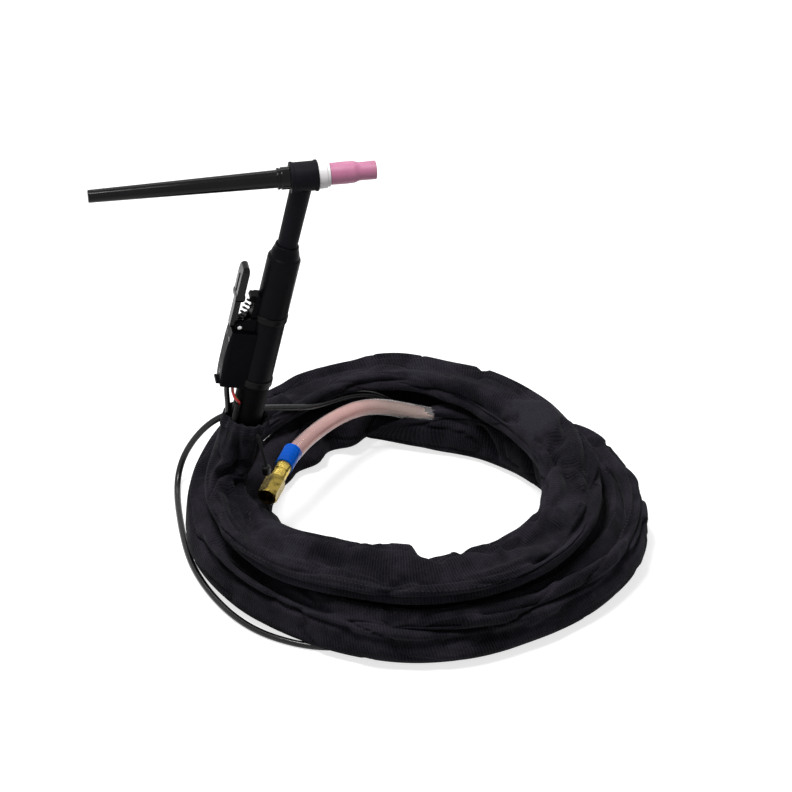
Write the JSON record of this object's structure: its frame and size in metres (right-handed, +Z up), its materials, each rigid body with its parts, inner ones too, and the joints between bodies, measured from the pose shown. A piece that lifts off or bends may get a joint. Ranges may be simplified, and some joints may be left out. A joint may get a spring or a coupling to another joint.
{
  "type": "tig torch",
  "caption": "Rigid-head gas-shielded welding torch with a long back cap and a trigger switch, standing in its coiled cloth-jacketed lead.",
  "frame": {"origin": "on the floor, straight below the place where the handle leaves the jacket", "axes": "+X the way the nozzle points, +Z up, +Y to the torch's left, seen from behind the nozzle"},
  "size_m": [0.4048, 0.3209, 0.3215],
  "materials": {
    "black_phenolic": "gloss",
    "seal_rubber": "satin",
    "brass": "turned",
    "head_rubber": "matte",
    "white_insulator": "satin",
    "copper": "bright",
    "pink_ceramic": "matte",
    "steel": "satin",
    "hose_rubber": "matte",
    "handle_plastic": "moulded satin",
    "strap_nylon": "satin",
    "boot_rubber": "matte",
    "switch_plastic": "moulded satin",
    "plunger_red": "gloss",
    "lever_plastic": "moulded satin",
    "cable_black": "satin",
    "lead_red": "satin",
    "lead_green": "satin",
    "jacket_cloth": "woven twill",
    "cord_black": "braided",
    "clear_hose": "translucent",
    "blue_sleeve": "gloss"
  },
  "bodies": {
    "torch": {"head_core": "brass", "head_cover": "head_rubber", "gasket": "white_insulator", "collet": "copper", "collet_body": "copper", "neck_tube": "copper", "hose_union": "brass", "crimp_ring": "steel", "power_hose": "hose_rubber", "handle_front": "handle_plastic", "handle_rear": "handle_plastic", "straps": "strap_nylon", "hose_boot": "boot_rubber", "switch_base": "switch_plastic", "switch_case": "switch_plastic", "case_screws": "steel", "microswitch": "switch_plastic", "lever_pin": "steel", "return_spring": "steel", "switch_gland": "seal_rubber", "switch_cable": "cable_black", "red_lead": "lead_red", "green_lead": "lead_green", "lead_sleeve": "cable_black", "jacket_cuff": "jacket_cloth", "tie_cord": "cord_black", "cord_lock": "strap_nylon", "jacket_riser": "jacket_cloth", "jacket_coil": "jacket_cloth", "hose_tail": "clear_hose", "blue_sleeve": "blue_sleeve", "ferrule": "brass", "hose_nipple": "brass", "control_cable": "cable_black", "control_plug": "cable_black"},
    "trigger": {"lever": "lever_plastic"},
    "switch_plunger": {"plunger": "plunger_red"},
    "cap_seal": {"cap_o_ring": "seal_rubber"},
    "cap": {"back_cap": "black_phenolic"},
    "gas_nozzle": {"nozzle": "pink_ceramic"},
    "nut": {"swivel_nut": "brass"}
  },
  "joints": [
    {"name": "trigger_pivot", "type": "hinge", "parent": "torch", "child": "trigger", "pos_m": [-0.00354, 0, 0.19054], "axis": [0, 1, 0], "range_deg": [0, 7], "stiffness_Nm_per_rad": 0.4, "springref_deg": -8.59, "deforming": ["return_spring"]},
    {"name": "plunger_press", "type": "slide", "parent": "torch", "child": "switch_plunger", "axis": [-0.2198, 0, -0.9755], "range_m": [0, 0.0006]},
    {"name": "cap_turn", "type": "hinge", "parent": "cap_seal", "child": "cap", "pos_m": [0.02595, 0, 0.31009], "axis": [-1, 0, 0], "range_deg": [0, 720]},
    {"name": "cap_advance", "type": "slide", "parent": "torch", "child": "cap_seal", "axis": [-1, 0, 0], "range_m": [0, 0.0025]},
    {"name": "nozzle_turn", "type": "hinge", "parent": "torch", "child": "gas_nozzle", "pos_m": [0.07595, 0, 0.31009], "axis": [1, 0, 0], "range_deg": [0, 360]},
    {"name": "nut_turn", "type": "hinge", "parent": "torch", "child": "nut", "pos_m": [0.02351, -0.00214, 0.05189], "axis": [-0.483, -0.8713, -0.0872], "continuous": true}
  ],
  "couplings": [
    {"joint": "plunger_press", "follows": "trigger_pivot", "m_per_rad": 0.0045},
    {"joint": "cap_turn", "follows": "cap_advance", "rad_per_m": 5026.5}
  ]
}
